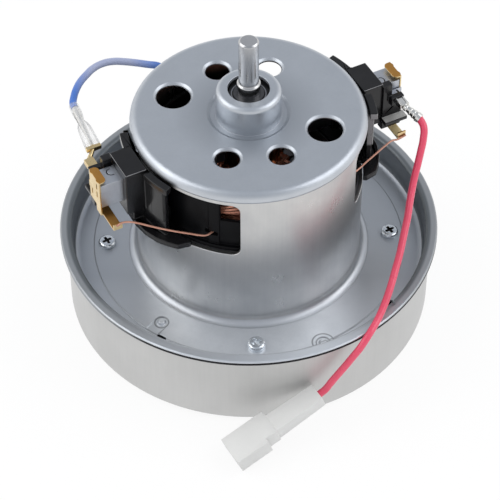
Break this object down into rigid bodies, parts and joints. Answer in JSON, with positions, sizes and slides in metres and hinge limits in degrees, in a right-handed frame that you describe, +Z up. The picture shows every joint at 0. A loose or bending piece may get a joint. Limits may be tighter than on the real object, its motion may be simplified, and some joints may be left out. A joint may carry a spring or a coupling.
{
  "type": "vacuum cleaner motor unit",
  "caption": "Vacuum cleaner motor unit: brush motor in a drawn steel frame with windows, vented end bracket, fan drum below, brush gear, and red and blue leads.",
  "frame": {"origin": "on the shaft axis, on the floor under the fan drum", "axes": "+Z up along the shaft towards its free end, X along the two brushes with the red lead at +X, Y across"},
  "size_m": [0.134, 0.1557, 0.117],
  "materials": {
    "can_steel": "satin",
    "cap_steel": "satin",
    "drum_steel": "satin",
    "black_plastic": "semi-gloss",
    "zinc_plate": "bright",
    "bearing_steel": "polished",
    "shield_steel": "satin",
    "cage_brass": "satin",
    "lamination_steel": "satin",
    "copper_wire": "enamelled",
    "varnished_coil": "varnished",
    "box_steel": "dull",
    "terminal_brass": "satin",
    "carbon": "matte",
    "spring_steel": "bright",
    "tinned_metal": "tinned",
    "clear_sleeve": "clear",
    "red_insulation": "satin",
    "blue_insulation": "satin",
    "connector_white": "translucent",
    "shaft_steel": "ground",
    "fibre": "matte",
    "commutator_resin": "matte",
    "commutator_copper": "turned",
    "fan_aluminium": "satin"
  },
  "bodies": {
    "frame": {"motor_frame": "can_steel", "bearing_bridge": "can_steel", "end_bracket": "cap_steel", "fan_cover": "drum_steel", "diffuser": "black_plastic", "brush_holder_left": "black_plastic", "brush_holder_right": "black_plastic", "top_insulator": "black_plastic", "bottom_insulator": "black_plastic", "flange_screws": "zinc_plate", "wave_washer": "zinc_plate", "top_bearing_outer": "bearing_steel", "bottom_bearing_outer": "bearing_steel", "top_bearing_shields": "shield_steel", "bottom_bearing_shields": "shield_steel", "stator_core": "lamination_steel", "field_winding_front": "copper_wire", "field_winding_rear": "copper_wire", "jumper_wire_left": "copper_wire", "jumper_wire_right": "copper_wire", "field_coil_front": "varnished_coil", "field_coil_rear": "varnished_coil", "brush_box_left": "box_steel", "brush_box_right": "box_steel", "blue_terminal": "terminal_brass", "brush_terminal_left": "terminal_brass", "brush_terminal_right": "terminal_brass", "brush_spring_left": "spring_steel", "brush_spring_right": "spring_steel", "red_terminal": "tinned_metal", "red_contact": "tinned_metal", "blue_contact": "tinned_metal", "blue_sleeve": "clear_sleeve", "red_lead": "red_insulation", "blue_lead": "blue_insulation", "red_connector": "connector_white", "blue_connector": "connector_white"},
    "rotor": {"shaft": "shaft_steel", "armature_core": "lamination_steel", "armature_winding": "copper_wire", "armature_insulators": "fibre", "commutator_hub": "commutator_resin", "commutator_bars": "commutator_copper", "top_bearing_inner": "bearing_steel", "bottom_bearing_inner": "bearing_steel", "fan_back_plate": "fan_aluminium", "fan_blades": "fan_aluminium", "fan_shroud": "fan_aluminium", "fan_nut": "zinc_plate", "fan_washers": "zinc_plate", "fan_spacer": "zinc_plate"},
    "top_balls": {"top_bearing_balls": "bearing_steel", "top_bearing_cage": "cage_brass"},
    "bottom_balls": {"bottom_bearing_balls": "bearing_steel", "bottom_bearing_cage": "cage_brass"},
    "brush_left": {"carbon_brush_left": "carbon"},
    "brush_right": {"carbon_brush_right": "carbon"}
  },
  "joints": [
    {"name": "shaft_spin", "type": "hinge", "parent": "frame", "child": "rotor", "pos_m": [0, 0, 0.06], "axis": [0, 0, 1], "continuous": true},
    {"name": "top_balls_orbit", "type": "hinge", "parent": "frame", "child": "top_balls", "pos_m": [0, 0, 0.091], "axis": [0, 0, 1], "continuous": true},
    {"name": "bottom_balls_orbit", "type": "hinge", "parent": "frame", "child": "bottom_balls", "pos_m": [0, 0, 0.0225], "axis": [0, 0, 1], "continuous": true},
    {"name": "brush_left_slide", "type": "slide", "parent": "frame", "child": "brush_left", "axis": [-1, 0, 0], "range_m": [0, 0.004], "stiffness_N_per_m": 300, "springref_m": -0.006, "deforming": ["brush_spring_left"]},
    {"name": "brush_right_slide", "type": "slide", "parent": "frame", "child": "brush_right", "axis": [1, 0, 0], "range_m": [0, 0.004], "stiffness_N_per_m": 300, "springref_m": -0.006, "deforming": ["brush_spring_right"]}
  ],
  "couplings": [
    {"joint": "top_balls_orbit", "follows": "shaft_spin", "ratio": 0.3815},
    {"joint": "bottom_balls_orbit", "follows": "shaft_spin", "ratio": 0.37}
  ]
}
